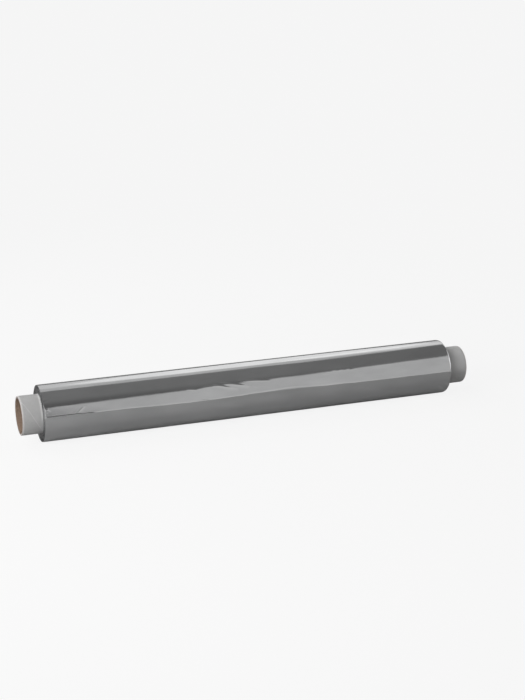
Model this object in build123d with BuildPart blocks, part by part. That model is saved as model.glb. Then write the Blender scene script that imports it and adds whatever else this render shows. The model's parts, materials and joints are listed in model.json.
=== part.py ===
from build123d import *
from math import asin, cos, degrees, radians, sin, sqrt
import os

# Roll of kitchen foil: the wound aluminium sheet and the paper core that stands out at both ends.
# The roll lies on a table. X runs along its axis, Z is up, and the front, with the sheet's free edge,
# faces -Y. The origin lies on the table under the middle of the core. Lengths are in millimetres, and
# angles round the axis are in degrees, from the back (+Y) over the top.

# Paper core
core_length = 494.0
core_radius = 20.2
core_wall = 2.0
core_rim_bevel = 0.25
left_stub = 20.6

# Seam of the core's outer paper strip, a helix that shows on both stubs
seam_pitch = 70.0
seam_gap = 0.7
strip_thickness = 0.35
seam_rim_angle = 109.0

# Wound foil
foil_width = 450.0
winding_thickness = 9.15
winding_clearance = 0.05
flat_spot_width = 8.0

# Free edge of the sheet: the last turn comes over the top, loosens and ends at the front
free_edge_angle = 171.0
free_edge_lift = 0.3
loosened_angle = 100.0

# The sheet wandered sideways while it was wound, so its turns end in bands that stand out at one end
# of the roll by as much as they lie back at the other.
band_wander = 0.6
band_width_shares = (0.07, 0.13, 0.09, 0.15, 0.06, 0.14, 0.10, 0.12, 0.14)
band_shift_shares = (0.8, 0.1, -0.7, -0.1, 1.0, 0.3, -0.5, 0.4, 0.0)

# Tools that cut run on past the surface by this much
overrun = 2.0

# Places that follow from the sizes
winding_bore = core_radius + winding_clearance
foil_radius = winding_bore + winding_thickness
axis_height = sqrt(foil_radius**2 - (flat_spot_width / 2) ** 2)
core_left = -core_length / 2
core_right = core_length / 2
foil_left = core_left + left_stub
foil_right = foil_left + foil_width
roll_axis = Axis((0, 0, axis_height), (1, 0, 0))
lengthwise_plane = Plane((0, 0, axis_height), x_dir=(1, 0, 0), z_dir=(0, -1, 0))


def cross_plane(x):
    """The plane across the roll at x, with its own x to the back and its y up."""
    return Plane((x, 0, axis_height), x_dir=(0, 1, 0), z_dir=(1, 0, 0))


def round_axis(radius, angle):
    """A point of the cross plane."""
    return (radius * cos(radians(angle)), radius * sin(radians(angle)))


def cut_seam(start, end):
    """Cuts the gap of the outer strip's seam into the core between two places along the roll."""
    with BuildLine() as seam:
        # This helix starts straight above the axis, and is then turned to the seam's place
        Helix(seam_pitch, end - start, core_radius, center=(start, 0, axis_height), direction=(1, 0, 0))
    turn = seam_rim_angle - 90 + 360 * (start - core_left) / seam_pitch
    path = seam.line.rotate(roll_axis, turn)
    outward = path @ 0 - Vector(start, 0, axis_height)
    with BuildSketch(Plane(path @ 0, x_dir=outward, z_dir=path % 0)) as gap:
        Rectangle(2 * strip_thickness, seam_gap)
    sweep(gap.sketch, path=path, is_frenet=True, mode=Mode.SUBTRACT)


with BuildPart() as core_tube:
    with BuildSketch(lengthwise_plane):
        with Locations((0, core_radius)):
            wall = Rectangle(core_length, core_wall, align=(Align.CENTER, Align.MAX))
        chamfer(wall.vertices(), core_rim_bevel)
    revolve(axis=roll_axis)
    cut_seam(core_left - overrun, foil_left + overrun)
    cut_seam(foil_right - overrun, core_right + overrun)

core_tube.part.label = "core_tube"


# End faces of the wound foil, band by band from the core outwards. The outermost band runs on past
# the last turn, whose own outline is cut out of it below.
left_steps = []
right_steps = []
inner = winding_bore
last_band = len(band_width_shares) - 1
for band, (width_share, shift_share) in enumerate(zip(band_width_shares, band_shift_shares)):
    outer = inner + width_share * winding_thickness
    if band == last_band:
        outer = foil_radius + free_edge_lift + overrun
    shift = shift_share * band_wander
    left_steps += [(foil_left + shift, inner), (foil_left + shift, outer)]
    right_steps += [(foil_right + shift, inner), (foil_right + shift, outer)]
    inner = outer

# Outline of the last turn: it leaves the round winding on a slightly larger arc, whose centre lies on
# the far side of the axis, and ends in the small step of its free edge.
loose_start_angle = free_edge_angle - loosened_angle
loose_offset = free_edge_lift / (1 - cos(radians(loosened_angle)))
loose_radius = foil_radius + loose_offset
loose_centre = round_axis(-loose_offset, loose_start_angle)
free_edge_radius = (
    sqrt(loose_radius**2 - (loose_offset * sin(radians(loosened_angle))) ** 2)
    - loose_offset * cos(radians(loosened_angle))
)
loose_middle_angle = loose_start_angle + loosened_angle / 2
loose_middle = Vector(*loose_centre) + Vector(*round_axis(loose_radius, loose_middle_angle))
flat_half_angle = degrees(asin(flat_spot_width / 2 / foil_radius))
flat_front = round_axis(foil_radius, 270 - flat_half_angle)
flat_back = round_axis(foil_radius, 270 + flat_half_angle)
loose_start = round_axis(foil_radius, loose_start_angle)
free_edge = round_axis(free_edge_radius, free_edge_angle)
free_edge_foot = round_axis(foil_radius, free_edge_angle)

with BuildPart() as foil_roll:
    with BuildSketch(lengthwise_plane):
        with BuildLine():
            Polyline(*left_steps, *reversed(right_steps), close=True)
        make_face()
    revolve(axis=roll_axis)

    wander_room = band_wander + overrun
    with BuildSketch(cross_plane(foil_left - wander_room)):
        with BuildLine():
            ThreePointArc(loose_start, loose_middle, free_edge)
            Line(free_edge, free_edge_foot)
            ThreePointArc(free_edge_foot, round_axis(foil_radius, 225), flat_front)
            Line(flat_front, flat_back)
            ThreePointArc(flat_back, round_axis(foil_radius, 0), loose_start)
        make_face()
    extrude(amount=foil_width + 2 * wander_room, mode=Mode.INTERSECT)

foil_roll.part.label = "foil_roll"


os.makedirs("parts", exist_ok=True)
export_step(core_tube.part, "parts/core_tube.step")
export_step(foil_roll.part, "parts/foil_roll.step")
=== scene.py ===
import json
import math
import random

import bmesh
import bpy
from bpy.props import FloatProperty, FloatVectorProperty, IntProperty, PointerProperty
from mathutils import Matrix, Vector, noise


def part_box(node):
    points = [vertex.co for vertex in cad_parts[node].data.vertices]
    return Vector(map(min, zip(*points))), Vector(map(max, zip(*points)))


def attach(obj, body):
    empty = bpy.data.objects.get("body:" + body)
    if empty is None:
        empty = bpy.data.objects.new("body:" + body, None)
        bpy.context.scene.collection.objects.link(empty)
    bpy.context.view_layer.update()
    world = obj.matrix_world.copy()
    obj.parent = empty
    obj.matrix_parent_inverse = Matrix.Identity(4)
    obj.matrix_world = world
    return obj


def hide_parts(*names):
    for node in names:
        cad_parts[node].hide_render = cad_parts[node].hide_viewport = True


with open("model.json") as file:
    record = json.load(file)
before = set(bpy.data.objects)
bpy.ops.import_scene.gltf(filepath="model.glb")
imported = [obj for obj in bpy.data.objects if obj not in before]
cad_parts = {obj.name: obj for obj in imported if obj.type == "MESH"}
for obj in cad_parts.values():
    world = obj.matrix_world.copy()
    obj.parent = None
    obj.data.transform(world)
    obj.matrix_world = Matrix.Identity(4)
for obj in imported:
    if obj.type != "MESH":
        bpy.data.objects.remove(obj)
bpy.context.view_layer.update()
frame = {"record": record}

bl_info = {
    "name": "Kitchen Foil Roll",
    "version": (1, 0, 0),
    "blender": (4, 5, 0),
    "location": "3D View > Sidebar > Foil Roll",
    "description": "Builds a roll of aluminium foil on a paper core and a plain studio round it",
    "category": "Add Mesh",
}

# Places taken from the fixed frame, in metres. Angles round the roll's axis run from the back (+Y)
# over the top to the front, where the sheet's free edge lies.
MOUNTS = {mount["name"]: mount for mount in frame["record"]["mounts"]}
MM = 0.001
AXIS_HEIGHT = MOUNTS["core_bore"]["pos_m"][2]
BORE_RADIUS = MOUNTS["core_bore"]["dims"]["r_mm"] * MM
CORE_RADIUS = MOUNTS["core_stub_left"]["dims"]["r_mm"] * MM
CORE_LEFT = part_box("core_tube")[0].x
CORE_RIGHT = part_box("core_tube")[1].x
FOIL_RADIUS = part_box("foil_roll")[1].y
FOIL_LEFT = CORE_LEFT + MOUNTS["core_stub_left"]["dims"]["length_mm"] * MM
FOIL_RIGHT = CORE_RIGHT - MOUNTS["core_stub_right"]["dims"]["length_mm"] * MM
FOIL_WIDTH = FOIL_RIGHT - FOIL_LEFT
MM_PER_DEGREE = math.radians(1) * FOIL_RADIUS / MM
AXIS_POINT = Vector((0, 0, AXIS_HEIGHT))
ALONG = Vector((1, 0, 0))
# How far forward of the axis the winding reaches at most
FRONT_REACH = -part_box("foil_roll")[0].y - 0.02 * MM

# Where the free edge lies: share of the foil's width from the left, and angle in degrees
FREE_EDGE_LINE = (
    (0.0, 168.8), (0.07, 168.9), (0.10, 169.8), (0.18, 170.2), (0.30, 172.4),
    (0.37, 173.4), (0.44, 171.9), (0.50, 169.9), (0.59, 167.6), (0.64, 170.4),
    (0.67, 171.7), (0.71, 171.6), (0.76, 173.0), (0.83, 173.5), (1.0, 173.9),
)
FREE_EDGE_ANGLE = 170.0
# How wide the step at the cut edge is, and how far round the points sway with the edge, in degrees
STEP_ANGLE = 0.12
EDGE_SWAY_ANGLE = 40

# Bands of turns at the end faces: share of the wound thickness, and sideways shift as a share of the wander
BAND_WIDTH_SHARES = (0.07, 0.13, 0.09, 0.15, 0.06, 0.14, 0.10, 0.12, 0.14)
BAND_SHIFT_SHARES = (0.8, 0.1, -0.7, -0.1, 1.0, 0.3, -0.5, 0.4, 0.0)

# How many degrees before the cut edge the sheet starts to curl outwards
CURL_ANGLE = 9.0

# How high the lip of the cut edge curls, how strongly the painted highlight line beside it shows, and how
# high the long waves are: share of the foil's width from the left, and strength from 0 to 1
LIP_LINE = (
    (0.0, 0.2), (0.009, 0.9), (0.016, 1.0), (0.03, 0.72), (0.055, 0.8),
    (0.069, 1.0), (0.085, 0.95), (0.105, 0.7), (0.13, 0.3), (0.16, 0.12),
    (0.36, 0.1), (0.367, 0.5), (0.378, 0.5), (0.39, 0.08), (1.0, 0.08),
)
PAINTED_HIGHLIGHT_LINE = (
    (0.0, 0.2), (0.02, 1.0), (0.07, 1.0), (0.10, 0.9), (0.14, 0.85),
    (0.33, 0.85), (0.40, 1.0), (0.55, 1.0), (0.60, 0.8), (0.70, 1.0),
    (0.80, 0.9), (1.0, 0.5),
)
WAVE_LINE = (
    (0.0, 0.22), (0.28, 0.22), (0.40, 1.0), (0.66, 1.0), (0.76, 0.22),
    (1.0, 0.22),
)

# The rims of the outer turns: how far in they are crimped and how deeply, over what length each end tapers
# and by how much, and how far the rims are rounded
RIM_LENGTH = 4 * MM
CRIMP_DEPTH = 0.05 * MM
LEFT_TAPER = (2.2 * MM, 0.16 * MM)
RIGHT_TAPER = (2.0 * MM, 0.50 * MM)
RIM_ROUNDING = 0.25 * MM

# Rows of points along the foil: where each stretch ends, as a share of the width, and its row spacing
ROW_STRETCHES = (
    (0.012, 0.0005), (0.125, 0.0009), (0.32, 0.0022), (0.53, 0.0009), (0.63, 0.0022),
    (0.75, 0.0014), (0.97, 0.0028), (0.99, 0.0010), (1.0, 0.00045),
)

# Columns of points round the foil: where each stretch ends, in degrees on from the free edge, and how
# many columns it has. They are close together where the sheet is creased.
COLUMN_STRETCHES = (
    (4.0, 10), (16.0, 12), (60.0, 32), (285.0, 60), (325.0, 26),
    (356.0, 60), (360.0, 18),
)

# Creases in the outer turns: along from and to (millimetres from the left), angle from and to (degrees),
# and width and height in millimetres, a valley below zero. The flank that faces up is the steep one.
CREASES = (
    (31.3, 39.9, 169.0, 156.4, 0.34, 0.17),
    (27.4, 34.1, 168.1, 161.2, 0.45, 0.05),
    (33.8, 38.6, 167.3, 165.3, 0.45, 0.06),
    (0.2, 3.4, 130.8, 129.9, 0.5, 0.10),
    (0.0, 4.5, 136.7, 135.4, 0.5, -0.10),
    (1.2, 4.4, 152.2, 155.9, 0.6, 0.13),
    (2.7, 4.1, 158.6, 161.2, 0.5, -0.12),
    (1.0, 3.5, 184.0, 186.0, 0.5, 0.12),
    (46.3, 52.1, 200.3, 205.3, 0.9, -0.07),
    (149.5, 159.0, 145.2, 149.5, 0.6, 0.09),
    (159.8, 161.9, 147.6, 148.0, 0.5, 0.06),
    (168.0, 186.0, 144.0, 146.5, 0.7, 0.08),
    (178.5, 202.5, 143.1, 156.7, 0.75, 0.19),
    (186.7, 214.7, 140.5, 153.7, 0.80, 0.20),
    (206.5, 238.5, 139.6, 147.4, 0.70, 0.16),
    (197.6, 228.8, 152.4, 158.0, 0.7, 0.03),
    (178.7, 208.0, 184.6, 193.4, 1.3, 0.09),
    (299.7, 302.3, 148.0, 148.6, 0.5, 0.05),
    (311.2, 314.0, 141.6, 141.2, 0.5, 0.06),
    (318.6, 321.4, 142.2, 141.8, 0.5, 0.06),
    (326.7, 329.0, 143.0, 141.4, 0.5, 0.07),
    (332.1, 334.9, 144.2, 143.3, 0.5, 0.07),
    (336.3, 379.7, 182.5, 205.9, 1.6, 0.09),
    (437.9, 449.2, 206.1, 229.4, 0.8, 0.30),
    (440.2, 449.9, 201.7, 218.5, 0.8, -0.25),
    (443.5, 450.0, 198.0, 208.0, 0.8, 0.20),
)

# Where the core's rims get loops of points, as shares of the worn length, the least distance between
# points, and how far strips that are cut off at the rims stay inside them
RIM_CUTS = (1.0, 0.64, 0.36, 0.14)
CLOSEST_POINTS = 0.03 * MM
RIM_INSET = 0.0003 * MM
# How ragged the edges of the strips and of the seam are, and how far round the lining's seam lies from the
# outer strip's, in degrees
STRIP_RAGGED = 0.05 * MM
SEAM_RAGGED = 0.02 * MM
LINING_TURN = 150

# The camera as measured from the photograph, for an image of 525 by 700 pixels
IMAGE_HEIGHT = 700
FOCAL_PIXELS = 1479.0
CAMERA_PLACE = Vector((-0.4962, -1.3921, 0.5648))
CAMERA_YAW = 20.13
CAMERA_PITCH = 18.43
CAMERA_ROLL = 0.33

# How bright the camera sees the backdrop, how bright the floor near the roll where no light falls on it,
# and between which distances from the roll the floor evens out to the backdrop
BACKDROP = 0.915
FLOOR_GLOW = 0.87
FLOOR_EVENS_OUT = (0.35, 1.0)
FLOOR_SIZE = 30
WHITE = (1.0, 1.0, 1.0)

# The dim room: over which stretch of its sky, where 0 is the middle and 1 its edge, it dims towards the
# front and the right, and to what share of its brightness
ROOM_FRONT = (-0.75, -0.35, 0.55)
ROOM_RIGHT = (0.30, 0.46, 0.78)

# Energy that an area lamp needs for each square metre to shine with a brightness of 1
LAMP_ENERGY = math.pi

# The front softboxes: where each starts and ends on the floor, and its share of the front light. The
# right-hand one is dimmer towards its left edge.
FRONT_LIGHT_HEIGHT = 1.3
FRONT_LIGHTS = (
    ("front_left_softbox", (-0.147, -1.62), (-1.093, -0.52), 1.0),
    ("front_edge_softbox", (-0.129, -1.930), (0.110, -1.653), 0.50),
    ("front_dim_softbox", (0.110, -1.653), (0.130, -1.630), 0.64),
    ("front_half_softbox", (0.130, -1.630), (0.160, -1.595), 0.76),
    ("front_near_softbox", (0.160, -1.595), (0.195, -1.554), 0.87),
    ("front_right_softbox", (0.195, -1.554), (1.079, -0.530), 1.0),
)
# The lights behind the roll and beside it: place, width, height, share of the back or the side light, and
# shape
BACK_LIGHTS = (
    ("back_softbox", (0.0, 0.85, 0.645), 3.4, 0.81, 1.0, "RECTANGLE"),
    ("back_upper_softbox", (-0.4, 0.85, 1.50), 2.6, 0.90, 0.66, "RECTANGLE"),
    ("back_glow", (0.35, 0.848, 0.64), 0.66, 0.90, 0.60, "ELLIPSE"),
    ("right_glow", (0.78, 0.846, 0.85), 0.62, 0.66, 0.34, "ELLIPSE"),
)
SIDE_LIGHTS = (
    ("left_softbox", (-1.8, -0.25, 0.6), 1.5, 1.2, 1.0, "RECTANGLE"),
    ("right_softbox", (1.8, -0.25, 0.6), 1.5, 1.2, 3.2, "RECTANGLE"),
)
# The large lamps for paper and floor: the way to each from the roll's left end, its distance and its size
PAPER_LIGHTS = (
    ("top_light", (-0.5, 0.8, 1.0), 1.7, 2.0),
    ("key_light", (-1.0, -0.45, 0.58), 1.6, 1.0),
    ("fill_light", (-0.7, -1.0, 0.5), 1.3, 0.8),
)
# The even light on the right-hand end: the way to it, how wide it is in degrees, and its share of the
# fill light
RIGHT_LIGHT_WAY = (1.0, -0.05, 0.1)
RIGHT_LIGHT_WIDTH = 20
RIGHT_LIGHT_SHARE = 1.5


class FoilSettings(bpy.types.PropertyGroup):
    """Sizes and finish of the wound foil."""

    free_edge_lift: FloatProperty(
        name="Free Edge Lift",
        description="How far the loosened last turn stands off at its free edge",
        default=0.00012,
        precision=5,
        unit="LENGTH",
    )
    loosened_angle: FloatProperty(
        name="Loosened Angle",
        description="How much of the last turn has come loose",
        default=100.0,
    )
    curl_height: FloatProperty(
        name="Edge Curl",
        description="How far the last few millimetres curl outwards",
        default=0.00018,
        precision=5,
        unit="LENGTH",
    )
    lip_height: FloatProperty(
        name="Lip Height",
        description="How far the lip of the cut edge curls up where it is strongest",
        default=0.00048,
        precision=5,
        unit="LENGTH",
    )
    lip_angle: FloatProperty(
        name="Lip Width",
        description="How wide the lip is, in degrees round the roll",
        default=1.75,
    )
    wave_height: FloatProperty(
        name="Wave Height",
        description="Height of the long shallow waves in the outer turns",
        default=0.00009,
        precision=5,
        unit="LENGTH",
    )
    inset: FloatProperty(
        name="Inset",
        description="How far the even surface lies inside the roll's full size",
        default=0.00012,
        precision=5,
        unit="LENGTH",
    )
    band_wander: FloatProperty(
        name="Band Wander",
        description="How far the bands of turns stand out or lie back at the ends",
        default=0.0006,
        precision=5,
        unit="LENGTH",
    )
    colour: FloatVectorProperty(
        name="Foil Colour",
        description="Colour of the bright side of the foil",
        subtype="COLOR",
        default=(0.86, 0.865, 0.87),
        min=0.0,
        max=1.0,
    )
    edge_colour: FloatVectorProperty(
        name="Turn Edge Colour",
        description="Colour of the many slit edges at the end faces",
        subtype="COLOR",
        default=(0.42, 0.42, 0.425),
        min=0.0,
        max=1.0,
    )


class CoreSettings(bpy.types.PropertyGroup):
    """Sizes and finish of the paper core."""

    steps_per_turn: IntProperty(
        name="Steps", description="Points round the core", default=144, min=24
    )
    strip_thickness: FloatProperty(
        name="Strip Thickness",
        description="Thickness of the pale outer strip",
        default=0.00035,
        precision=5,
        unit="LENGTH",
    )
    seam_pitch: FloatProperty(
        name="Seam Pitch",
        description="Distance along the core from one turn of the seam to the next",
        default=0.07,
        unit="LENGTH",
    )
    seam_gap: FloatProperty(
        name="Seam Gap",
        description="Gap between the strip's edges",
        default=0.0007,
        precision=5,
        unit="LENGTH",
    )
    seam_rim_angle: FloatProperty(
        name="Seam Angle",
        description="Where the seam starts at the left rim, in degrees",
        default=112.5,
    )
    rim_length: FloatProperty(
        name="Worn Length",
        description="How far along the core its worn, rounded rims reach",
        default=0.0016,
        precision=5,
        unit="LENGTH",
    )
    rim_drop: FloatProperty(
        name="Rim Rounding",
        description="How far the worn rims are rounded inwards",
        default=0.00032,
        precision=5,
        unit="LENGTH",
    )
    paper_colour: FloatVectorProperty(
        name="Paper Colour",
        description="Colour of the pale outer strip",
        subtype="COLOR",
        default=(0.70, 0.697, 0.693),
        min=0.0,
        max=1.0,
    )
    worn_colour: FloatVectorProperty(
        name="Worn Colour",
        description="Colour of the strip on its worn rims",
        subtype="COLOR",
        default=(0.84, 0.815, 0.80),
        min=0.0,
        max=1.0,
    )
    kraft_colour: FloatVectorProperty(
        name="Kraft Colour",
        description="Colour of the brown inner paper",
        subtype="COLOR",
        default=(0.47, 0.345, 0.265),
        min=0.0,
        max=1.0,
    )
    ply_colour: FloatVectorProperty(
        name="Ply Colour",
        description="Colour of the cut plies at the ends",
        subtype="COLOR",
        default=(0.67, 0.635, 0.62),
        min=0.0,
        max=1.0,
    )


class StudioSettings(bpy.types.PropertyGroup):
    """Light, floor and camera."""

    front_brightness: FloatProperty(
        name="Front Light", description="Brightness of the front softboxes", default=0.35
    )
    back_brightness: FloatProperty(
        name="Back Light", description="Brightness of the back softbox", default=0.42
    )
    side_brightness: FloatProperty(
        name="Side Light", description="Brightness of the softboxes at both ends", default=0.28
    )
    top_brightness: FloatProperty(
        name="Top Light", description="Strength of the large lamp above and behind", default=1.0
    )
    key_brightness: FloatProperty(
        name="Key Light", description="Strength of the large lamp from the left", default=1.35
    )
    fill_brightness: FloatProperty(
        name="Fill Light", description="Strength of the weak lamp from the front", default=0.60
    )
    room_brightness: FloatProperty(
        name="Room", description="Brightness of the dim room overhead", default=0.165
    )
    floor_colour: FloatVectorProperty(
        name="Floor Colour",
        description="Colour of the pale floor",
        subtype="COLOR",
        default=(0.50, 0.50, 0.50),
        min=0.0,
        max=1.0,
    )


class FoilRollSettings(bpy.types.PropertyGroup):
    """All settings of the foil roll."""

    foil: PointerProperty(type=FoilSettings)
    core: PointerProperty(type=CoreSettings)
    studio: PointerProperty(type=StudioSettings)


# Geometry


def on_roll(x, radius, angle):
    """The point at a place along the roll, a distance from its axis and an angle round it in degrees."""
    turn = math.radians(angle)
    return Vector((x, radius * math.cos(turn), AXIS_HEIGHT + radius * math.sin(turn)))


def round_axis(point):
    """A point's distance from the roll's axis and its angle round it in degrees, from 0 to 360."""
    up = point.z - AXIS_HEIGHT
    return math.hypot(point.y, up), math.degrees(math.atan2(up, point.y)) % 360


def smooth(share):
    """Eases a share from 0 to 1."""
    share = min(max(share, 0.0), 1.0)
    return share * share * (3 - 2 * share)


def follow(line, share):
    """The value of a line of given (share, value) points at a share, eased between them."""
    for (start, low), (end, high) in zip(line, line[1:]):
        if share <= end:
            return low + (high - low) * smooth((share - start) / (end - start))
    return line[-1][1]


def chain(bm, points):
    """Joins points into a line of edges."""
    vertices = [bm.verts.new(point) for point in points]
    edges = [bm.edges.new(pair) for pair in zip(vertices, vertices[1:])]
    return vertices, edges


def spin_section(section, start_angle, steps):
    """Spins a closed section of (x, radius) points once round the roll's axis."""
    bm = bmesh.new()
    vertices, edges = chain(bm, [on_roll(x, radius, start_angle) for x, radius in section])
    edges.append(bm.edges.new((vertices[-1], vertices[0])))
    bmesh.ops.spin(
        bm,
        geom=vertices + edges,
        cent=AXIS_POINT,
        axis=ALONG,
        angle=math.tau,
        steps=steps,
        use_merge=True,
    )
    bmesh.ops.recalc_face_normals(bm, faces=bm.faces)
    return bm


def finish_piece(bm, name, materials, node):
    """Makes the piece's object, which rides on the part's one body and stands for its node."""
    mesh = bpy.data.meshes.new(name)
    bm.to_mesh(mesh)
    bm.free()
    for material in materials:
        mesh.materials.append(material)
    piece = bpy.data.objects.new(name, mesh)
    bpy.context.scene.collection.objects.link(piece)
    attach(piece, "root")
    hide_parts(node)


# Wound foil


def end_face_points(face_x, wander):
    """One end face of the winding, from the bore out to the rim, as (x, radius) points: a ridge and a
    furrow for every few turns, in bands that the wandering sheet left standing out or lying back."""
    outward = 1 if face_x > 0 else -1
    thickness = FOIL_RADIUS - RIM_ROUNDING - CORE_RADIUS
    ridge_inset = 0.02 * MM
    points = []
    inner = CORE_RADIUS
    for width_share, shift_share in zip(BAND_WIDTH_SHARES, BAND_SHIFT_SHARES):
        width = width_share * thickness
        x = face_x + shift_share * wander
        furrows = 3 if width_share > 0.11 else 2
        for furrow in range(furrows):
            depth = random.uniform(0.03, 0.16) * MM
            ridge_radius = inner + width * furrow / furrows
            furrow_radius = ridge_radius + width * random.uniform(0.4, 0.7) / furrows
            points.append((x, ridge_radius + ridge_inset))
            points.append((x - outward * depth, furrow_radius))
        inner += width
        points.append((x, inner - ridge_inset))
    rim_steps = 3
    for rim_step in range(1, rim_steps + 1):
        turn = math.radians(90 * rim_step / rim_steps)
        x = face_x - outward * RIM_ROUNDING * (1 - math.cos(turn))
        points.append((x, FOIL_RADIUS - RIM_ROUNDING * (1 - math.sin(turn))))
    return points


def row_points():
    """The rows of points along the winding's outside, between its rims."""
    points = []
    start = FOIL_LEFT + RIM_ROUNDING
    for end_share, spacing in ROW_STRETCHES:
        end = FOIL_LEFT + end_share * FOIL_WIDTH
        if end_share == 1.0:
            end -= RIM_ROUNDING
        rows = max(1, round((end - start) / spacing))
        points += [(start + (end - start) * row / rows, FOIL_RADIUS) for row in range(1, rows + 1)]
        start = end
    return points[:-1]


def crease_height(along, angle):
    """The height of all the creases together at a place on the outer turns."""
    height = 0.0
    for start, end, start_angle, end_angle, width, rise in CREASES:
        if not start - 5 < along / MM < end + 5:
            continue
        run = Vector((end - start, (end_angle - start_angle) * MM_PER_DEGREE))
        place = Vector((along / MM - start, (angle - start_angle) * MM_PER_DEGREE))
        share = min(max(place.dot(run) / run.length_squared, 0.0), 1.0)
        off = place - run * share
        flank = width if off.y < 0 else 2.5 * width
        fade = 0.35 + 0.65 * math.sin(math.pi * min(max(share, 0.08), 0.92))
        height += rise * fade * math.exp(-((off.length / flank) ** 2))
    return height * MM


def lip_strength(along):
    """How strongly the cut edge curls up into a lip at a place along the roll."""
    return follow(LIP_LINE, along / FOIL_WIDTH) * (1 + 0.2 * noise.noise(Vector((along * 130, 3, 1))))


def lip_rise(along, before, settings):
    """The lip's rise over the last degrees before the cut edge, behind a shallow dip."""
    rise = max(0.0, 1 - before / settings.lip_angle) ** 1.15
    dip = math.exp(-(((before / settings.lip_angle - 1.3) / 0.35) ** 2))
    return settings.lip_height * lip_strength(along) * (rise - 0.2 * dip)


def burnish(along, before, crease):
    """How strongly a highlight is painted into the foil's colour: on the crests of creases, and in a broken
    light line just before the cut edge."""
    crest = min(0.8, max(0.0, crease) / (0.25 * MM))
    if before > CURL_ANGLE:
        return crest
    middle = 0.35 + 0.8 * min(1.0, lip_strength(along))
    line = math.exp(-(((before * MM_PER_DEGREE - middle) / 0.65) ** 2))
    broken = 0.75 + 0.5 * noise.noise(Vector((along * 90, 8, 4)))
    return min(1.0, max(crest, line * broken * follow(PAINTED_HIGHLIGHT_LINE, along / FOIL_WIDTH)))


def wave_height(x, along, angle, settings):
    """Long shallow waves of the outer turns, which the winding left strongest near the middle."""
    turn = math.radians(angle)
    place = Vector((x * 14, 2.3 * math.cos(turn), 2.3 * math.sin(turn)))
    ripple = Vector((x * 42, 5.0 * math.cos(turn), 5.0 * math.sin(turn) + 7))
    wave = noise.noise(place) + 0.30 * noise.noise(ripple)
    return settings.wave_height * follow(WAVE_LINE, along / FOIL_WIDTH) * wave


def edge_lift(x, along, before, settings):
    """How far the loosened last turn stands off the roll, with the curl and the lip of its cut edge."""
    lift = 0.0
    if before < settings.loosened_angle:
        loose = 1 - math.cos(math.radians(settings.loosened_angle - before))
        lift = settings.free_edge_lift * loose / (1 - math.cos(math.radians(settings.loosened_angle)))
    if before < CURL_ANGLE:
        ragged = 0.9 + 0.5 * noise.noise(Vector((x * 60, 3, 1)))
        ragged *= 0.35 + 0.65 * smooth((along - 0.05) / 0.08)
        lift += ragged * settings.curl_height * (1 - before / CURL_ANGLE) ** 2
        lift += lip_rise(along, before, settings)
    return lift


def rim_relief(x, along, angle):
    """How the outer turns give way at both rims: unevenly crimped, and tapered at their very ends."""
    crimped = 1 - smooth(min(along, FOIL_WIDTH - along) / RIM_LENGTH)
    relief = crimped * CRIMP_DEPTH * (noise.noise(Vector((x * 300, angle * 0.30, 5))) - 1)
    for distance, (length, drop) in ((along, LEFT_TAPER), (FOIL_WIDTH - along, RIGHT_TAPER)):
        relief -= drop * max(0.0, 1 - distance / length) ** 2
    return relief


def keep_in_box(radius, angle, depth_share):
    """Holds the winding above the floor, which gives it its flat spot, and inside its foremost place."""
    down = math.radians(angle - 270)
    if abs(math.degrees(down)) < 20:
        flat_radius = AXIS_HEIGHT / math.cos(down)
        radius = min(radius, CORE_RADIUS + (flat_radius - CORE_RADIUS) * depth_share)
    front = abs(math.cos(math.radians(angle)))
    if front > 0.9:
        radius = min(radius, FRONT_REACH / front)
    return radius


def column_angles():
    """How far on from the free edge each column of points lies, in degrees."""
    angles = []
    start = 0.0
    for end, columns in COLUMN_STRETCHES:
        angles += [start + (end - start) * column / columns for column in range(columns)]
        start = end
    return angles


def shape_winding(bm, settings):
    """Gives the round winding its flat spot, its free edge and the unevenness of its outer turns."""
    angles = column_angles()
    painted_highlight_share = bm.verts.layers.float.new("burnish")
    for vertex in bm.verts:
        x = vertex.co.x
        radius, angle = round_axis(vertex.co)
        depth_share = (radius - CORE_RADIUS) / (FOIL_RADIUS - CORE_RADIUS)
        along = min(max(x - FOIL_LEFT, 0.0), FOIL_WIDTH)
        column = round((angle - FREE_EDGE_ANGLE) % 360 / 360 * len(angles)) % len(angles)
        past = angles[column]
        before = 360 - past
        if column == 0:
            before = 0.0
        elif column == 1:
            past = STEP_ANGLE
        angle = (FREE_EDGE_ANGLE + past) % 360

        near_edge = 1 - smooth(min(before, past if column else 0.0) / EDGE_SWAY_ANGLE)
        angle += near_edge * (follow(FREE_EDGE_LINE, along / FOIL_WIDTH) - FREE_EDGE_ANGLE)

        crease = crease_height(along, angle)
        # Painted highlight: a share that lifts the foil's colour along the cut edge and on crease crests
        vertex[painted_highlight_share] = burnish(along, before, crease) * smooth((depth_share - 0.9) / 0.1)
        relief = crease + rim_relief(x, along, angle) - settings.inset
        relief += edge_lift(x, along, before, settings) + wave_height(x, along, angle, settings)
        radius += smooth((depth_share - 0.8) / 0.2) * relief
        vertex.co = on_roll(x, keep_in_box(radius, angle, depth_share), angle)


def mark_winding(bm):
    """Smooths the outside, keeps the ridges of the end faces crisp and tells their faces apart."""
    for face in bm.faces:
        face.smooth = True
        face.material_index = 1 if abs(face.normal.x) > 0.6 else 0
    for edge in bm.edges:
        if len(edge.link_faces) == 2 and edge.calc_face_angle(0) > math.radians(25):
            edge.smooth = False


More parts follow.
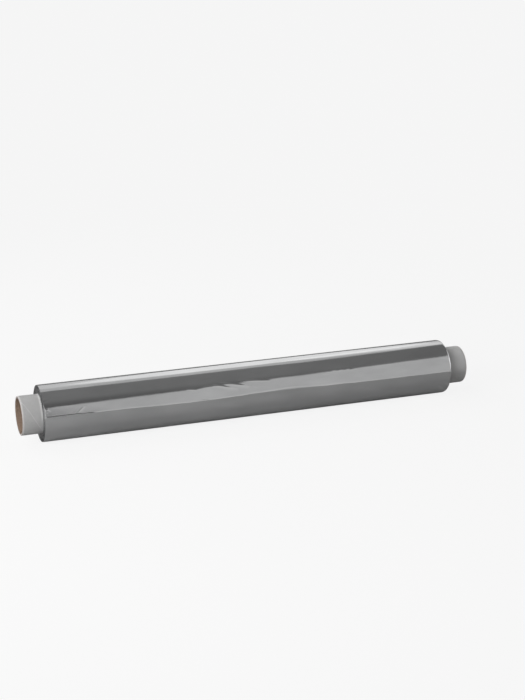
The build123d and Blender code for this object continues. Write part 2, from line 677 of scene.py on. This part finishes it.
class FOILROLL_OT_wind_foil(bpy.types.Operator):
    """Winds the foil: spins the section of the winding round its axis and shapes its outer turns"""

    bl_idname = "foilroll.wind_foil"
    bl_label = "Wind Foil"

    def execute(self, context):
        settings = context.scene.foil_roll.foil
        random.seed(11)
        noise.seed_set(11)
        left = end_face_points(FOIL_LEFT, settings.band_wander)
        right = end_face_points(FOIL_RIGHT, settings.band_wander)
        bm = spin_section(left + row_points() + right[::-1], FREE_EDGE_ANGLE, len(column_angles()))
        shape_winding(bm, settings)
        bm.normal_update()
        mark_winding(bm)
        materials = [bright_foil(settings), turn_edges(settings)]
        finish_piece(bm, "foil_winding", materials, "foil_roll")
        return {"FINISHED"}


# Paper core


def trim_to_core(bm, settings):
    """Cuts a strip off square at both ends of the core, gives its rims their loops of points, and merges
    points that come out too close together."""
    for x, outward in ((CORE_LEFT, -1), (CORE_RIGHT, 1)):
        for cut in (0.0, *RIM_CUTS):
            bmesh.ops.bisect_plane(
                bm,
                geom=bm.verts[:] + bm.edges[:] + bm.faces[:],
                plane_co=(x - outward * cut * settings.rim_length, 0, 0),
                plane_no=(outward, 0, 0),
                clear_outer=cut == 0.0,
            )
    bmesh.ops.remove_doubles(bm, verts=bm.verts[:], dist=CLOSEST_POINTS)


def round_rims(bm, settings):
    """Rounds the rims of a core piece as wear does, most on the outside."""
    middle = (BORE_RADIUS + CORE_RADIUS) / 2
    for vertex in bm.verts:
        x = vertex.co.x
        share = 1 - min(x - CORE_LEFT, CORE_RIGHT - x) / settings.rim_length
        if share > 0:
            radius, angle = round_axis(vertex.co)
            drop = settings.rim_drop * share * share
            radius += -drop if radius > middle else 0.4 * drop
            x = min(max(x, CORE_LEFT + RIM_INSET), CORE_RIGHT - RIM_INSET)
            vertex.co = on_roll(x, radius, angle)


def wind_strip(settings, radius, thickness, width, start_angle, ragged):
    """A paper strip wound along the core as a helix, whose inner skin has the given radius. Its edges
    are ragged by a given amount, apart from where it is cut off at the rims."""
    pitch = settings.seam_pitch
    turns = math.ceil((CORE_RIGHT - CORE_LEFT) / pitch) + 1
    margin = min(1 * MM, width / 4)
    rim_room = 0.1 * MM
    middle = CORE_LEFT - pitch / 2 if width > pitch / 2 else CORE_LEFT - pitch
    half = width / 2
    places = [-half, -half + margin, 0.0, half - margin, half]
    bm = bmesh.new()
    vertices, edges = chain(bm, [on_roll(middle + place, radius, start_angle) for place in places])
    bmesh.ops.spin(
        bm,
        geom=vertices + edges,
        cent=AXIS_POINT,
        axis=ALONG,
        dvec=ALONG * (pitch / settings.steps_per_turn),
        angle=math.tau * turns,
        steps=turns * settings.steps_per_turn,
    )
    trim_to_core(bm, settings)
    for edge in bm.edges:
        if edge.is_boundary and abs(edge.verts[0].co.x - edge.verts[1].co.x) > rim_room / 10:
            for vertex in edge.verts:
                if CORE_LEFT + rim_room < vertex.co.x < CORE_RIGHT - rim_room:
                    vertex.co.x += ragged * noise.noise(vertex.co * 900)
    bmesh.ops.recalc_face_normals(bm, faces=bm.faces)
    face = next(iter(bm.faces))
    centre = face.calc_center_median()
    if face.normal.dot(centre - Vector((centre.x, 0, AXIS_HEIGHT))) < 0:
        bmesh.ops.reverse_faces(bm, faces=bm.faces)
    bmesh.ops.solidify(bm, geom=bm.faces[:], thickness=-thickness)
    finish_paper(bm, settings)
    return bm


def finish_paper(bm, settings):
    """Wears the rims of a paper piece, smooths it, keeps its edges crisp and tells its cut ends apart."""
    round_rims(bm, settings)
    bm.normal_update()
    for face in bm.faces:
        face.smooth = True
        face.material_index = 1 if abs(face.normal.x) > 0.9 else 0
    for edge in bm.edges:
        edge.smooth = edge.calc_face_angle(0) < math.radians(30)


def make_tube(settings, inner, outer):
    """The plies between the lining and the outer strip, with slightly worn rims."""
    bevel = 0.15 * MM
    cuts = [CORE_LEFT + cut * settings.rim_length for cut in RIM_CUTS]
    half = [(x, inner) for x in cuts] + [(CORE_LEFT, inner + bevel), (CORE_LEFT, outer - bevel)]
    half += [(x, outer) for x in reversed(cuts)]
    section = half + [(-x, radius) for x, radius in reversed(half)]
    bm = spin_section(section, 0, settings.steps_per_turn)
    finish_paper(bm, settings)
    return bm


class FOILROLL_OT_roll_core(bpy.types.Operator):
    """Rolls the core: a paper tube with a brown lining and a pale strip wound over it as a helix"""

    bl_idname = "foilroll.roll_core"
    bl_label = "Roll Core"

    def execute(self, context):
        settings = context.scene.foil_roll.core
        noise.seed_set(5)
        ply = settings.strip_thickness
        gap = settings.seam_gap
        strip = settings.seam_pitch - gap
        angle = settings.seam_rim_angle
        skin = CORE_RADIUS - ply
        kraft = kraft_paper(settings)
        pale = pale_paper(settings)
        torn = torn_paper(settings)
        ends = ply_edges(settings)
        strips = (
            ("core_outer_strip", pale, skin, ply, strip, angle, STRIP_RAGGED),
            ("core_seam_edge", torn, skin, 0.85 * ply, gap, angle, SEAM_RAGGED),
            ("core_lining_strip", kraft, BORE_RADIUS, ply, strip, angle + LINING_TURN, STRIP_RAGGED),
        )
        tube = make_tube(settings, BORE_RADIUS + ply, skin)
        finish_piece(tube, "core_tube_body", [kraft, ends], "core_tube")
        for name, paper, *sizes in strips:
            bm = wind_strip(settings, *sizes)
            finish_piece(bm, name, [paper, ends], "core_tube")
        return {"FINISHED"}


# Materials


def empty_material(name):
    """A node material with nothing but its output."""
    material = bpy.data.materials.new(name)
    material.use_nodes = True
    tree = material.node_tree
    tree.nodes.clear()
    return material, tree, tree.nodes.new("ShaderNodeOutputMaterial")


def new_material(name, metallic=0.0):
    """A node material with its output and shader."""
    material, tree, output = empty_material(name)
    shader = add(tree, "ShaderNodeBsdfPrincipled", Metallic=metallic)
    tree.links.new(shader.outputs["BSDF"], output.inputs["Surface"])
    return material, tree, shader


def finish_shader(tree, shader, colour, roughness, normal):
    """Gives a shader its colour, roughness and normal from sockets."""
    for socket, name in ((colour, "Base Color"), (roughness, "Roughness"), (normal, "Normal")):
        tree.links.new(socket, shader.inputs[name])


def feed(tree, value, socket):
    """Links an input to a socket, or sets its value. Colours are given without their alpha."""
    if isinstance(value, bpy.types.NodeSocket):
        tree.links.new(value, socket)
    else:
        socket.default_value = (*value, 1.0) if socket.type == "RGBA" else value


def add(tree, kind, **values):
    """Adds a node, sets its properties and feeds its inputs, by name with _ for a space."""
    node = tree.nodes.new(kind)
    node.location.x = 200 * len(tree.nodes)
    for key, value in values.items():
        if hasattr(node, key):
            setattr(node, key, value)
        else:
            feed(tree, value, node.inputs[key.replace("_", " ")])
    return node


def mix_colour(tree, factor, low, high):
    """Mixes two colours, either of which may be a socket, by a socket."""
    mix = add(tree, "ShaderNodeMix", data_type="RGBA")
    for value, place in ((factor, 0), (low, 6), (high, 7)):
        feed(tree, value, mix.inputs[place])
    return mix.outputs[2]


def tint(colour, factor):
    """A colour made darker or lighter by a factor."""
    return tuple(min(1.0, factor * value) for value in colour)


def mix_shader(tree, factor, first, second):
    """Mixes two shaders by a socket."""
    mix = tree.nodes.new("ShaderNodeMixShader")
    for value, socket in zip((factor, first, second), mix.inputs):
        tree.links.new(value, socket)
    return mix.outputs[0]


def calculate(tree, operation, *values):
    """The result of a sum with one or two sockets."""
    node = add(tree, "ShaderNodeMath", operation=operation)
    for value, socket in zip(values, node.inputs):
        tree.links.new(value, socket)
    return node.outputs[0]


def step(tree, value, start, end, low=0.0, high=1.0, kind="SMOOTHSTEP"):
    """Goes from low to high while a value goes from a start to an end, eased unless the kind is LINEAR."""
    limits = {"From_Min": start, "From_Max": end, "To_Min": low, "To_Max": high}
    ranged = add(tree, "ShaderNodeMapRange", interpolation_type=kind, Value=value, **limits)
    return ranged.outputs["Result"]


def span(tree, value, low, high):
    """Maps a value from 0 to 1 onto a range."""
    return step(tree, value, 0.0, 1.0, low, high, kind="LINEAR")


def object_place(tree):
    """A place on the object."""
    return add(tree, "ShaderNodeTexCoord").outputs["Object"]


def apart(tree, vector):
    """A vector's X, Y and Z as sockets."""
    return add(tree, "ShaderNodeSeparateXYZ", Vector=vector).outputs


def length(tree, vector):
    """A vector's length."""
    return add(tree, "ShaderNodeVectorMath", operation="LENGTH", Vector=vector).outputs["Value"]


def stretched_noise_group():
    """Noise drawn out along one direction, for rolling lines, fibres and smudges: its shade from 0 to 1.
    The group is made once and then shared."""
    name = "stretched_noise"
    if name in bpy.data.node_groups:
        return bpy.data.node_groups[name]
    group = bpy.data.node_groups.new(name, "ShaderNodeTree")
    for label, kind, default in (
        ("Stretch", "NodeSocketVector", (1.0, 1.0, 1.0)),
        ("Detail", "NodeSocketFloat", 2.0),
        ("Low", "NodeSocketFloat", 0.3),
        ("High", "NodeSocketFloat", 0.7),
    ):
        socket = group.interface.new_socket(name=label, in_out="INPUT", socket_type=kind)
        socket.default_value = default
    group.interface.new_socket(name="Shade", in_out="OUTPUT", socket_type="NodeSocketFloat")
    given = add(group, "NodeGroupInput").outputs
    mapping = add(group, "ShaderNodeMapping", Vector=object_place(group), Scale=given["Stretch"])
    place = mapping.outputs["Vector"]
    pattern = add(group, "ShaderNodeTexNoise", Vector=place, Scale=1.0, Detail=given["Detail"])
    shade = step(group, pattern.outputs["Fac"], given["Low"], given["High"], kind="LINEAR")
    add(group, "NodeGroupOutput", Shade=shade)
    return group


def stretched_noise(tree, stretch, detail=2.0, low=0.3, high=0.7):
    """Places the stretched noise in a material and gives its shade."""
    values = {"Stretch": stretch, "Detail": detail, "Low": low, "High": high}
    node = add(tree, "ShaderNodeGroup", node_tree=stretched_noise_group(), **values)
    return node.outputs["Shade"]


def bump(tree, height, distance, below=None):
    """A bump of a given height in metres, over another."""
    node = add(tree, "ShaderNodeBump", Strength=1.0, Distance=distance, Height=height)
    if below is not None:
        tree.links.new(below, node.inputs["Normal"])
    return node.outputs["Normal"]


def bright_foil(settings):
    """The shiny side of the foil: fine rolling lines round the roll, faint smudges and shallow crinkles,
    and a painted highlight that lifts its colour along the cut edge and on crease crests."""
    material, tree, shader = new_material("bright_foil", metallic=1.0)
    lines = stretched_noise(tree, (2600.0, 6.0, 6.0), detail=3.0)
    smudges = stretched_noise(tree, (22.0, 60.0, 60.0), detail=4.0)
    crinkles = stretched_noise(tree, (90.0, 260.0, 260.0))
    # Painted highlight: the foil's colour is lifted towards white along the cut edge and on crease crests
    painted_highlight_share = add(tree, "ShaderNodeAttribute", attribute_name="burnish").outputs["Fac"]
    painted_highlight_colour = (0.99, 0.99, 0.99)
    smudged = mix_colour(tree, smudges, tint(settings.colour, 0.88), settings.colour)
    colour = mix_colour(tree, painted_highlight_share, smudged, painted_highlight_colour)
    normal = bump(tree, crinkles, 0.008 * MM, bump(tree, lines, 0.0012 * MM))
    finish_shader(tree, shader, colour, span(tree, smudges, 0.14, 0.10), normal)
    return material


def radius_shade(tree, scale, detail, low, high):
    """Rings round the roll's axis: a shade that changes only with the distance from it."""
    mapping = add(tree, "ShaderNodeMapping", Vector=object_place(tree), Scale=(0.0, 1.0, 1.0))
    mapping.inputs["Location"].default_value = (0.0, 0.0, -AXIS_HEIGHT)
    away = length(tree, mapping.outputs["Vector"])
    rings = add(tree, "ShaderNodeTexNoise", noise_dimensions="1D", W=away, Scale=scale, Detail=detail)
    return step(tree, rings.outputs["Fac"], low, high, kind="LINEAR")


def turn_edges(settings):
    """The end faces: slit edges of hundreds of turns, with dark gaps between some of them, in rings that
    were wound tighter or looser, slightly scuffed, and with painted light that makes them brighter at the
    front."""
    material, tree, shader = new_material("foil_turn_edges", metallic=1.0)
    rings = radius_shade(tree, 5200.0, 3.0, 0.3, 0.7)
    bands = radius_shade(tree, 1250.0, 2.0, 0.36, 0.64)
    scuffs = stretched_noise(tree, (200.0, 260.0, 260.0), detail=3.0)
    # Painted light: the end faces are made lighter towards the front, in the colour also used for scuffs
    front = step(tree, apart(tree, object_place(tree))["Y"], -18 * MM, -25 * MM)
    edge = settings.edge_colour
    scuffed_and_lit = tint(edge, 1.8)
    banded = mix_colour(tree, bands, tint(edge, 0.5), tint(edge, 1.5))
    edges = mix_colour(tree, span(tree, scuffs, 0.0, 0.5), banded, scuffed_and_lit)
    front_painted_light = mix_colour(tree, span(tree, front, 0.0, 0.8), edges, scuffed_and_lit)
    colour = mix_colour(tree, rings, tint(edge, 0.25), front_painted_light)
    finish_shader(tree, shader, colour, span(tree, scuffs, 0.5, 0.36), bump(tree, rings, 0.04 * MM))
    return material


def pale_paper(settings):
    """The pale outer strip: smooth paper with fine fibres and faint handling marks. It is paler on the
    worn rims, and has painted light right beside the foil at the left, on its upper half."""
    material, tree, shader = new_material("pale_paper")
    fibres = stretched_noise(tree, (900.0, 2200.0, 2200.0), detail=5.0)
    mottle = stretched_noise(tree, (120.0, 160.0, 160.0), detail=3.0)
    place = apart(tree, object_place(tree))
    # Painted light: a lighter band on the paper's upper half right beside the foil at the left
    beside = step(tree, place["X"], FOIL_LEFT - 2.2 * MM, FOIL_LEFT - 1.4 * MM)
    upper = step(tree, place["Z"], AXIS_HEIGHT - 6 * MM, AXIS_HEIGHT + 6 * MM)
    painted_light_beside_foil = calculate(tree, "MULTIPLY", beside, upper)
    off_middle = calculate(tree, "ABSOLUTE", place["X"])
    worn = step(tree, off_middle, CORE_RIGHT - 2.0 * MM, CORE_RIGHT - 1.0 * MM)
    paper = settings.paper_colour
    marks = mix_colour(tree, mottle, tint(paper, 0.88), paper)
    handled = mix_colour(tree, fibres, marks, tint(paper, 1.06))
    lit_beside_foil = mix_colour(tree, painted_light_beside_foil, handled, tint(paper, 1.32))
    colour = mix_colour(tree, worn, lit_beside_foil, settings.worn_colour)
    finish_shader(tree, shader, colour, span(tree, fibres, 0.72, 0.62), bump(tree, fibres, 0.02 * MM))
    return material


def torn_paper(settings):
    """The lighter, fluffy cut edge that shows in the strip's seam."""
    material, tree, shader = new_material("torn_paper_edge")
    fluff = stretched_noise(tree, (1800.0, 1800.0, 1800.0), detail=4.0)
    colour = mix_colour(tree, fluff, tint(settings.paper_colour, 1.05), tint(settings.paper_colour, 1.5))
    finish_shader(tree, shader, colour, span(tree, fluff, 0.95, 0.85), bump(tree, fluff, 0.06 * MM))
    return material


def ply_edges(settings):
    """The cut ends of the core: thin pressed plies with a slightly darker line between them."""
    material, tree, shader = new_material("cut_plies")
    rings = radius_shade(tree, 2400.0, 2.0, 0.35, 0.65)
    fibres = stretched_noise(tree, (1500.0, 1500.0, 1500.0), detail=4.0)
    plies = mix_colour(tree, rings, tint(settings.ply_colour, 0.78), settings.ply_colour)
    colour = mix_colour(tree, fibres, plies, tint(settings.ply_colour, 1.1))
    finish_shader(tree, shader, colour, span(tree, fibres, 0.9, 0.8), bump(tree, fibres, 0.04 * MM))
    return material


def kraft_paper(settings):
    """The brown inner paper: coarse fibres and paler flecks."""
    material, tree, shader = new_material("kraft_paper")
    fibres = stretched_noise(tree, (700.0, 1500.0, 1500.0), detail=5.0)
    flecks = stretched_noise(tree, (1400.0, 1400.0, 1400.0), low=0.62, high=0.68)
    body = mix_colour(tree, fibres, tint(settings.kraft_colour, 0.72), settings.kraft_colour)
    colour = mix_colour(tree, flecks, body, tint(settings.kraft_colour, 1.25))
    finish_shader(tree, shader, colour, span(tree, fibres, 0.85, 0.75), bump(tree, fibres, 0.04 * MM))
    return material


def floor_material(settings):
    """A pale floor. The camera sees it lifted towards white, as on a bright studio sweep: with its soft
    shadow near the roll, and as even as the backdrop farther away."""
    material, tree, output = empty_material("pale_floor")
    lit = add(tree, "ShaderNodeBsdfDiffuse", Color=settings.floor_colour)
    faint = add(tree, "ShaderNodeBsdfDiffuse", Color=tint(settings.floor_colour, 0.25))
    glow = add(tree, "ShaderNodeEmission", Color=WHITE, Strength=FLOOR_GLOW)
    even = add(tree, "ShaderNodeEmission", Color=WHITE, Strength=BACKDROP)
    near = tree.nodes.new("ShaderNodeAddShader")
    camera_ray = add(tree, "ShaderNodeLightPath").outputs["Is Camera Ray"]
    link = tree.links.new
    link(faint.outputs[0], near.inputs[0])
    link(glow.outputs[0], near.inputs[1])
    far = step(tree, length(tree, object_place(tree)), *FLOOR_EVENS_OUT)
    seen = mix_shader(tree, far, near.outputs[0], even.outputs[0])
    link(mix_shader(tree, camera_ray, lit.outputs[0], seen), output.inputs["Surface"])
    return material


# Studio


def hang_lamp(lamp, place, way, mirrored):
    """Hangs a lamp at a place with its back turned some way. The foil mirrors it and nothing else is lit
    by it, or it lights paper and floor and the foil doesn't mirror it."""
    holder = bpy.data.objects.new(lamp.name, lamp)
    holder.location = place
    holder.rotation_euler = Vector(way).to_track_quat("Z", "Y").to_euler()
    holder.visible_camera = False
    holder.visible_diffuse = not mirrored
    holder.visible_glossy = mirrored
    bpy.context.scene.collection.objects.link(holder)


def softbox(name, place, way, width, height, brightness, shape="RECTANGLE"):
    """A rectangular or oval lamp with a given brightness, which the foil mirrors."""
    lamp = bpy.data.lights.new(name, "AREA")
    lamp.shape = shape
    lamp.size = width
    lamp.size_y = height
    filled = math.pi / 4 if shape == "ELLIPSE" else 1.0
    lamp.energy = brightness * width * height * filled * LAMP_ENERGY
    hang_lamp(lamp, place, way, mirrored=True)


def front_softbox(name, start, end, brightness):
    """A softbox that stands on the floor in front of the roll, between two places on the floor."""
    run = Vector(end) - Vector(start)
    middle = (Vector(start) + Vector(end)) / 2
    away = Vector((run.y, -run.x))
    if away.y > 0:
        away.negate()
    place = (*middle, FRONT_LIGHT_HEIGHT / 2)
    softbox(name, place, (*away, 0.0), run.length, FRONT_LIGHT_HEIGHT, brightness)


def paper_lamp(name, way, distance, size, strength):
    """A large round lamp for paper and floor. It stands some way from the roll's left end and falls off to
    the right. Its strength is what reaches the left end."""
    lamp = bpy.data.lights.new(name, "AREA")
    lamp.shape = "DISK"
    lamp.size = size
    lamp.energy = strength * math.pi * distance**2
    way = Vector(way).normalized()
    hang_lamp(lamp, Vector((CORE_LEFT, 0, AXIS_HEIGHT)) + distance * way, way, mirrored=False)


def soft_sun(name, way, width, strength):
    """An even, soft light for paper and floor from one way."""
    lamp = bpy.data.lights.new(name, "SUN")
    lamp.energy = strength
    lamp.angle = math.radians(width)
    hang_lamp(lamp, AXIS_POINT, way, mirrored=False)


class FOILROLL_OT_set_studio(bpy.types.Operator):
    """Sets the pale floor, the soft lights and the camera"""

    bl_idname = "foilroll.set_studio"
    bl_label = "Set Studio"

    def execute(self, context):
        settings = context.scene.foil_roll.studio
        self.lay_floor(settings)
        self.hang_lights(settings)
        self.light_room(context.scene, settings)
        self.place_camera(context.scene)
        return {"FINISHED"}

    def lay_floor(self, settings):
        """A wide floor that the roll lies on."""
        bm = bmesh.new()
        bmesh.ops.create_grid(bm, x_segments=1, y_segments=1, size=FLOOR_SIZE)
        mesh = bpy.data.meshes.new("floor")
        bm.to_mesh(mesh)
        bm.free()
        mesh.materials.append(floor_material(settings))
        floor = bpy.data.objects.new("floor", mesh)
        bpy.context.scene.collection.objects.link(floor)

    def hang_lights(self, settings):
        """Softboxes that the foil mirrors, and soft lights for paper and floor."""
        back = settings.back_brightness
        side = settings.side_brightness
        for name, start, end, share in FRONT_LIGHTS:
            front_softbox(name, start, end, share * settings.front_brightness)
        for name, place, width, height, share, shape in BACK_LIGHTS:
            softbox(name, place, (0.0, 1.0, 0.0), width, height, share * back, shape)
        for name, place, width, height, share, shape in SIDE_LIGHTS:
            softbox(name, place, (place[0], 0.0, 0.0), width, height, share * side, shape)
        strengths = (settings.top_brightness, settings.key_brightness, settings.fill_brightness)
        for (name, way, distance, size), strength in zip(PAPER_LIGHTS, strengths):
            paper_lamp(name, way, distance, size, strength)
        strength = RIGHT_LIGHT_SHARE * settings.fill_brightness
        soft_sun("right_light", RIGHT_LIGHT_WAY, RIGHT_LIGHT_WIDTH, strength)

    def light_room(self, scene, settings):
        """A dim room for the roll, and a pale even backdrop for the camera."""
        world = bpy.data.worlds.new("room")
        world.use_nodes = True
        tree = world.node_tree
        tree.nodes.clear()
        output = tree.nodes.new("ShaderNodeOutputWorld")
        sky = apart(tree, add(tree, "ShaderNodeTexCoord").outputs["Generated"])
        start, end, share = ROOM_FRONT
        front = step(tree, sky["Y"], start, end, share * settings.room_brightness, settings.room_brightness)
        start, end, share = ROOM_RIGHT
        right = step(tree, sky["X"], start, end, 1.0, share)
        strength = calculate(tree, "MULTIPLY", front, right)
        dim = add(tree, "ShaderNodeBackground", Color=WHITE, Strength=strength)
        pale = add(tree, "ShaderNodeBackground", Color=WHITE, Strength=BACKDROP)
        camera_ray = add(tree, "ShaderNodeLightPath").outputs["Is Camera Ray"]
        seen = mix_shader(tree, camera_ray, dim.outputs[0], pale.outputs[0])
        tree.links.new(seen, output.inputs["Surface"])
        scene.world = world
        scene.view_settings.view_transform = "Standard"

    def place_camera(self, scene):
        """The camera, where the photograph was taken from."""
        yaw = math.radians(CAMERA_YAW)
        pitch = math.radians(CAMERA_PITCH)
        look = Vector((math.sin(yaw) * math.cos(pitch), math.cos(yaw) * math.cos(pitch), -math.sin(pitch)))
        camera = bpy.data.cameras.new("camera")
        camera.lens = FOCAL_PIXELS * camera.sensor_width / IMAGE_HEIGHT
        camera.clip_end = 100
        holder = bpy.data.objects.new("camera", camera)
        roll = Matrix.Rotation(math.radians(CAMERA_ROLL), 3, "Z")
        turn = look.to_track_quat("-Z", "Y").to_matrix() @ roll
        holder.matrix_world = Matrix.Translation(CAMERA_PLACE) @ turn.to_4x4()
        scene.collection.objects.link(holder)
        scene.camera = holder


class FOILROLL_PT_panel(bpy.types.Panel):
    """Lists the steps that build the roll and its studio"""

    bl_idname = "FOILROLL_PT_panel"
    bl_label = "Foil Roll"
    bl_space_type = "VIEW_3D"
    bl_region_type = "UI"
    bl_category = "Foil Roll"

    def draw(self, context):
        settings = context.scene.foil_roll
        for operator, group in (
            (FOILROLL_OT_wind_foil, settings.foil),
            (FOILROLL_OT_roll_core, settings.core),
            (FOILROLL_OT_set_studio, settings.studio),
        ):
            box = self.layout.box()
            for name in group.__annotations__:
                box.prop(group, name)
            box.operator(operator.bl_idname)


CLASSES = (
    FoilSettings,
    CoreSettings,
    StudioSettings,
    FoilRollSettings,
    FOILROLL_OT_wind_foil,
    FOILROLL_OT_roll_core,
    FOILROLL_OT_set_studio,
    FOILROLL_PT_panel,
)


def register():
    """Registers the classes and the scene's settings."""
    for item in CLASSES:
        bpy.utils.register_class(item)
    bpy.types.Scene.foil_roll = PointerProperty(type=FoilRollSettings)


def unregister():
    """Takes the settings and the classes away again."""
    del bpy.types.Scene.foil_roll
    for item in reversed(CLASSES):
        bpy.utils.unregister_class(item)


def main():
    """Builds the roll and its studio."""
    register()
    bpy.ops.foilroll.wind_foil()
    bpy.ops.foilroll.roll_core()
    bpy.ops.foilroll.set_studio()


if __name__ == "__main__":
    main()
